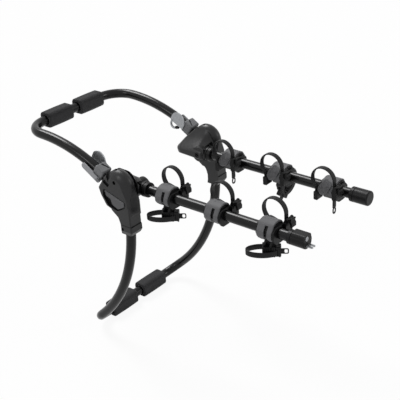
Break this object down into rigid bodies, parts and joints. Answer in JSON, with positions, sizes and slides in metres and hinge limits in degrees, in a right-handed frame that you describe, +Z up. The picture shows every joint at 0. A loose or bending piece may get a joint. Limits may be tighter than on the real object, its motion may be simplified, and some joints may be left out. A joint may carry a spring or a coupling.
{
  "type": "trunk mounted bike rack",
  "caption": "Strap-on trunk bike rack: two padded tube hoops and two fold-down arms on lever hubs, with sliding strap cradles, hanging anti-sway cages and a cable lock.",
  "frame": {"origin": "middle of the lower crossbar, on the tube's axis, between the two lower foam pads", "axes": "+X across the vehicle towards its left side, +Y along the bicycle arms and away from the vehicle, +Z up"},
  "size_m": [0.4258, 0.9863, 0.6463],
  "materials": {
    "gloss_black_tube": "gloss black powder coat with soft reflections",
    "satin_black_plastic": "satin near-black moulded plastic",
    "cradle_plastic": "black moulded plastic, fine texture",
    "grey_rubber": "mid grey soft rubber",
    "strap_rubber": "black flexible strap rubber",
    "foam": "dark grey closed cell foam",
    "lever_grey": "grey moulded plastic",
    "clamp_grey": "light grey moulded plastic",
    "band_aluminium": "light grey anodised aluminium, satin",
    "bright_steel": "bright zinc plated steel",
    "dark_steel": "black oxide steel"
  },
  "bodies": {
    "lower_frame": {"lower_hoop": "gloss_black_tube", "lower_foam_pads": "foam", "hub_outer_left": "satin_black_plastic", "hub_inner_left": "satin_black_plastic", "neck_collar_left": "satin_black_plastic", "hub_outer_right": "satin_black_plastic", "hub_inner_right": "satin_black_plastic", "neck_collar_right": "satin_black_plastic", "hub_bolts": "dark_steel", "lock_discs": "dark_steel"},
    "upper_frame": {"upper_hoop": "gloss_black_tube", "upper_foam_pads": "foam", "knuckle_left": "dark_steel", "cam_buckle_left": "clamp_grey", "trunk_hook_left": "bright_steel", "knuckle_right": "dark_steel", "cam_buckle_right": "clamp_grey", "trunk_hook_right": "bright_steel"},
    "cam_lever_left": {"cam_lever_left": "band_aluminium"},
    "release_lever_left": {"release_lever_left": "lever_grey"},
    "arm_left": {"arm_socket_left": "cradle_plastic", "arm_tube_left": "gloss_black_tube", "end_cap_left": "cradle_plastic", "cable_fork": "bright_steel"},
    "cam_lever_right": {"cam_lever_right": "band_aluminium"},
    "release_lever_right": {"release_lever_right": "lever_grey"},
    "arm_right": {"arm_socket_right": "cradle_plastic", "arm_tube_right": "gloss_black_tube", "end_cap_right": "cradle_plastic"},
    "lock_core": {"lock_core": "bright_steel"},
    "cradle_left_1": {"cradle_body_left_1": "cradle_plastic", "cradle_pad_left_1": "grey_rubber", "cradle_strap_left_1": "strap_rubber"},
    "thumb_lever_left_1": {"thumb_lever_left_1": "cradle_plastic"},
    "cage_left_1": {"cage_body_left_1": "cradle_plastic", "cage_strap_left_1": "strap_rubber"},
    "cradle_left_2": {"cradle_body_left_2": "cradle_plastic", "cradle_pad_left_2": "grey_rubber", "cradle_strap_left_2": "strap_rubber"},
    "thumb_lever_left_2": {"thumb_lever_left_2": "cradle_plastic"},
    "cradle_left_3": {"cradle_body_left_3": "cradle_plastic", "cradle_pad_left_3": "grey_rubber", "cradle_strap_left_3": "strap_rubber"},
    "thumb_lever_left_3": {"thumb_lever_left_3": "cradle_plastic"},
    "cage_left_3": {"cage_body_left_3": "cradle_plastic", "cage_strap_left_3": "strap_rubber"},
    "cradle_right_1": {"cradle_body_right_1": "cradle_plastic", "cradle_pad_right_1": "grey_rubber", "cradle_strap_right_1": "strap_rubber"},
    "thumb_lever_right_1": {"thumb_lever_right_1": "cradle_plastic"},
    "cradle_right_2": {"cradle_body_right_2": "cradle_plastic", "cradle_pad_right_2": "grey_rubber", "cradle_strap_right_2": "strap_rubber"},
    "thumb_lever_right_2": {"thumb_lever_right_2": "cradle_plastic"},
    "cage_right_2": {"cage_body_right_2": "cradle_plastic", "cage_strap_right_2": "strap_rubber"},
    "cradle_right_3": {"cradle_body_right_3": "cradle_plastic", "cradle_pad_right_3": "grey_rubber", "cradle_strap_right_3": "strap_rubber"},
    "thumb_lever_right_3": {"thumb_lever_right_3": "cradle_plastic"}
  },
  "joints": [
    {"name": "upper_frame_swing", "type": "hinge", "parent": "lower_frame", "child": "upper_frame", "pos_m": [0, 0.18392, 0.51459], "axis": [1, 0, 0], "range_deg": [-55, 0]},
    {"name": "arm_fold_left", "type": "hinge", "parent": "lower_frame", "child": "arm_left", "pos_m": [0.1375, 0.20392, 0.49459], "axis": [1, 0, 0], "range_deg": [-16, 0]},
    {"name": "release_lever_pull_left", "type": "hinge", "parent": "lower_frame", "child": "release_lever_left", "pos_m": [0.2092, 0.17942, 0.48669], "axis": [0, -0.961, 0.2765], "range_deg": [0, 35], "stiffness_Nm_per_rad": 0.4, "springref_deg": -11.46},
    {"name": "cam_lever_turn_left", "type": "hinge", "parent": "upper_frame", "child": "cam_lever_left", "pos_m": [0.1875, 0.11862, 0.52325], "axis": [1, 0, 0], "range_deg": [0, 70]},
    {"name": "cradle_slide_left_1", "type": "slide", "parent": "arm_left", "child": "cradle_left_1", "axis": [0, 1, 0], "range_m": [0, 0.03]},
    {"name": "thumb_lever_lift_left_1", "type": "hinge", "parent": "cradle_left_1", "child": "thumb_lever_left_1", "pos_m": [0.1045, 0.34392, 0.52059], "axis": [1, 0, 0], "range_deg": [0, 45]},
    {"name": "cage_swing_left_1", "type": "hinge", "parent": "cradle_left_1", "child": "cage_left_1", "pos_m": [0.1375, 0.30792, 0.45959], "axis": [0, 1, 0], "range_deg": [-20, 12]},
    {"name": "cradle_slide_left_2", "type": "slide", "parent": "arm_left", "child": "cradle_left_2", "axis": [0, 1, 0], "range_m": [-0.025, 0.025]},
    {"name": "thumb_lever_lift_left_2", "type": "hinge", "parent": "cradle_left_2", "child": "thumb_lever_left_2", "pos_m": [0.1045, 0.51292, 0.52059], "axis": [1, 0, 0], "range_deg": [0, 45]},
    {"name": "cradle_slide_left_3", "type": "slide", "parent": "arm_left", "child": "cradle_left_3", "axis": [0, 1, 0], "range_m": [-0.03, 0]},
    {"name": "thumb_lever_lift_left_3", "type": "hinge", "parent": "cradle_left_3", "child": "thumb_lever_left_3", "pos_m": [0.1045, 0.67792, 0.52059], "axis": [1, 0, 0], "range_deg": [0, 45]},
    {"name": "cage_swing_left_3", "type": "hinge", "parent": "cradle_left_3", "child": "cage_left_3", "pos_m": [0.1375, 0.64192, 0.45959], "axis": [0, 1, 0], "range_deg": [-20, 12]},
    {"name": "arm_fold_right", "type": "hinge", "parent": "lower_frame", "child": "arm_right", "pos_m": [-0.1375, 0.20392, 0.49459], "axis": [1, 0, 0], "range_deg": [-74, 0]},
    {"name": "release_lever_pull_right", "type": "hinge", "parent": "lower_frame", "child": "release_lever_right", "pos_m": [-0.2092, 0.17942, 0.48669], "axis": [0, 0.961, -0.2765], "range_deg": [0, 35], "stiffness_Nm_per_rad": 0.4, "springref_deg": -11.46},
    {"name": "cam_lever_turn_right", "type": "hinge", "parent": "upper_frame", "child": "cam_lever_right", "pos_m": [-0.1875, 0.11862, 0.52325], "axis": [1, 0, 0], "range_deg": [0, 70]},
    {"name": "cradle_slide_right_1", "type": "slide", "parent": "arm_right", "child": "cradle_right_1", "axis": [0, 1, 0], "range_m": [0, 0.03]},
    {"name": "thumb_lever_lift_right_1", "type": "hinge", "parent": "cradle_right_1", "child": "thumb_lever_right_1", "pos_m": [-0.1045, 0.35092, 0.52059], "axis": [1, 0, 0], "range_deg": [0, 45]},
    {"name": "cradle_slide_right_2", "type": "slide", "parent": "arm_right", "child": "cradle_right_2", "axis": [0, 1, 0], "range_m": [-0.025, 0.025]},
    {"name": "thumb_lever_lift_right_2", "type": "hinge", "parent": "cradle_right_2", "child": "thumb_lever_right_2", "pos_m": [-0.1045, 0.51992, 0.52059], "axis": [1, 0, 0], "range_deg": [0, 45]},
    {"name": "cage_swing_right_2", "type": "hinge", "parent": "cradle_right_2", "child": "cage_right_2", "pos_m": [-0.1375, 0.48392, 0.45959], "axis": [0, 1, 0], "range_deg": [-50, 3]},
    {"name": "cradle_slide_right_3", "type": "slide", "parent": "arm_right", "child": "cradle_right_3", "axis": [0, 1, 0], "range_m": [-0.03, 0]},
    {"name": "thumb_lever_lift_right_3", "type": "hinge", "parent": "cradle_right_3", "child": "thumb_lever_right_3", "pos_m": [-0.1045, 0.68492, 0.52059], "axis": [1, 0, 0], "range_deg": [0, 45]},
    {"name": "lock_core_turn", "type": "hinge", "parent": "arm_left", "child": "lock_core", "pos_m": [0.143, 0.75392, 0.50609], "axis": [0, 1, 0], "range_deg": [0, 90]}
  ]
}
